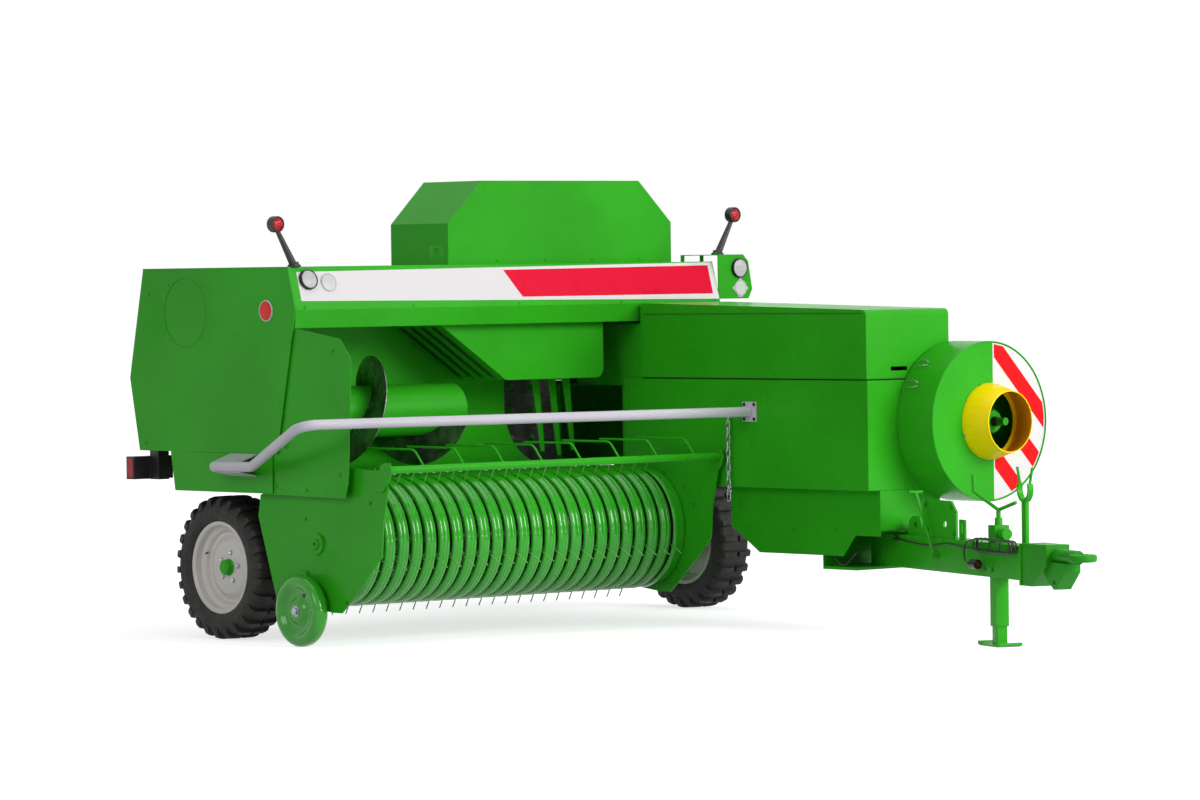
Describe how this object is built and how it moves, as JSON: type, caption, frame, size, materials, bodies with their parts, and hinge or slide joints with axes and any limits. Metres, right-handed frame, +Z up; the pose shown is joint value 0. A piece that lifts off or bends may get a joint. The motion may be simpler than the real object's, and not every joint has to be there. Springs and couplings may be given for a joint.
{
  "type": "square baler",
  "caption": "Towed hay press with a side pickup reel, cross auger, long bale chamber, box-shaped drive cover with round flywheel guard, and a swinging drawbar on a screw jack.",
  "frame": {"origin": "on the ground under the middle of the machine's bounding box", "axes": "+Z up, +Y to the rear along the bale chamber, +X to the machine's left"},
  "size_m": [3.3065, 6.1863, 2.058],
  "materials": {
    "green_paint": "gloss enamel",
    "beam_paint": "gloss enamel with a white and red stripe",
    "dark_steel": "satin",
    "galvanised": "galvanised, matt",
    "bare_steel": "worn bare steel",
    "silver_paint": "satin",
    "tyre": "matt",
    "spring_steel": "bright spring steel",
    "black_plastic": "matt",
    "black_rubber": "matt",
    "yellow_plastic": "satin",
    "lamp_plastic": "gloss lens",
    "cast_iron": "green paint over casting"
  },
  "bodies": {
    "machine": {"axle": "green_paint", "chamber": "green_paint", "density_rails": "bare_steel", "gearbox": "cast_iron", "main_frame": "green_paint", "swing_mount": "green_paint", "side_panel_right": "green_paint", "rear_panel": "green_paint", "deck": "green_paint", "nose_beam": "beam_paint", "lamp_plate": "green_paint", "side_panel_left": "green_paint", "hood": "green_paint", "side_skirt": "green_paint", "end_plate": "green_paint", "feeder_housing": "green_paint", "header_trough": "green_paint", "feed_plate": "bare_steel", "feeder_fingers": "green_paint", "box_panels": "green_paint", "box_skirt": "green_paint", "drum": "green_paint", "drum_back": "green_paint", "shaft_cone": "yellow_plastic", "lift_brackets": "green_paint", "safety_tube": "galvanised", "knotter": "cast_iron", "needle_yoke": "green_paint", "chute_hinge": "green_paint", "marker_lamps": "black_rubber", "front_lamps": "lamp_plastic", "rear_lamps": "black_plastic", "pickup_chain": "galvanised", "cover_hinges": "green_paint"},
    "wheel_right": {"tyre_right": "tyre", "rim_right": "silver_paint"},
    "wheel_left": {"tyre_left": "tyre", "rim_left": "silver_paint"},
    "auger": {"auger": "dark_steel"},
    "flywheel": {"flywheel": "cast_iron"},
    "plunger": {"plunger": "bare_steel"},
    "cover": {"box_cover": "green_paint"},
    "chute": {"bale_chute": "green_paint"},
    "pickup": {"pickup_frame": "green_paint", "pickup_bands": "green_paint", "guard_brackets": "green_paint", "gauge_arm": "green_paint"},
    "reel": {"tine_reel": "spring_steel"},
    "wind_guard": {"wind_guard": "green_paint"},
    "gauge_wheel": {"gauge_wheel": "green_paint"},
    "drawbar": {"drawbar": "green_paint", "tow_head": "cast_iron", "jack_tube": "galvanised", "drawbar_fittings": "green_paint", "cable_run": "black_rubber", "cable_hank": "black_rubber", "cable_tail": "black_rubber", "cable_plug": "black_plastic"},
    "jack_leg": {"jack_leg": "galvanised"}
  },
  "joints": [
    {"name": "wheel_right_turn", "type": "hinge", "parent": "machine", "child": "wheel_right", "pos_m": [-1.22568, 0.76116, 0.324], "axis": [1, 0, 0], "continuous": true},
    {"name": "wheel_left_turn", "type": "hinge", "parent": "machine", "child": "wheel_left", "pos_m": [1.55532, 0.76116, 0.324], "axis": [1, 0, 0], "continuous": true},
    {"name": "auger_turn", "type": "hinge", "parent": "machine", "child": "auger", "pos_m": [-1.32368, 0.31115, 1.018], "axis": [1, 0, 0], "continuous": true},
    {"name": "flywheel_turn", "type": "hinge", "parent": "machine", "child": "flywheel", "pos_m": [1.18132, -1.42385, 0.942], "axis": [0, 1, 0], "continuous": true},
    {"name": "plunger_slide", "type": "slide", "parent": "machine", "child": "plunger", "axis": [0, 1, 0], "range_m": [0, 0.6]},
    {"name": "cover_hinge", "type": "hinge", "parent": "machine", "child": "cover", "pos_m": [1.16532, 0.09615, 1.1365], "axis": [0, 1, 0], "range_deg": [0, 75]},
    {"name": "chute_hinge", "type": "hinge", "parent": "machine", "child": "chute", "pos_m": [1.13632, 2.67315, 0.712], "axis": [1, 0, 0], "range_deg": [0, 90]},
    {"name": "pickup_lift", "type": "hinge", "parent": "machine", "child": "pickup", "pos_m": [-1.32368, 0.22115, 0.705], "axis": [-1, 0, 0], "range_deg": [0, 7]},
    {"name": "reel_turn", "type": "hinge", "parent": "pickup", "child": "reel", "pos_m": [-1.32368, 0.03615, 0.452], "axis": [1, 0, 0], "continuous": true},
    {"name": "wind_guard_lift", "type": "hinge", "parent": "pickup", "child": "wind_guard", "pos_m": [-1.32368, -0.46385, 0.785], "axis": [1, 0, 0], "range_deg": [0, 7]},
    {"name": "gauge_wheel_turn", "type": "hinge", "parent": "pickup", "child": "gauge_wheel", "pos_m": [-1.35868, 0.09115, 0.158], "axis": [1, 0, 0], "continuous": true},
    {"name": "drawbar_swing", "type": "hinge", "parent": "machine", "child": "drawbar", "pos_m": [0.98932, -1.14685, 0.298], "axis": [0, 0, 1], "range_deg": [0, 25]},
    {"name": "jack_screw", "type": "slide", "parent": "drawbar", "child": "jack_leg", "axis": [0, 0, 1], "range_m": [-0.2, 0.07]}
  ]
}
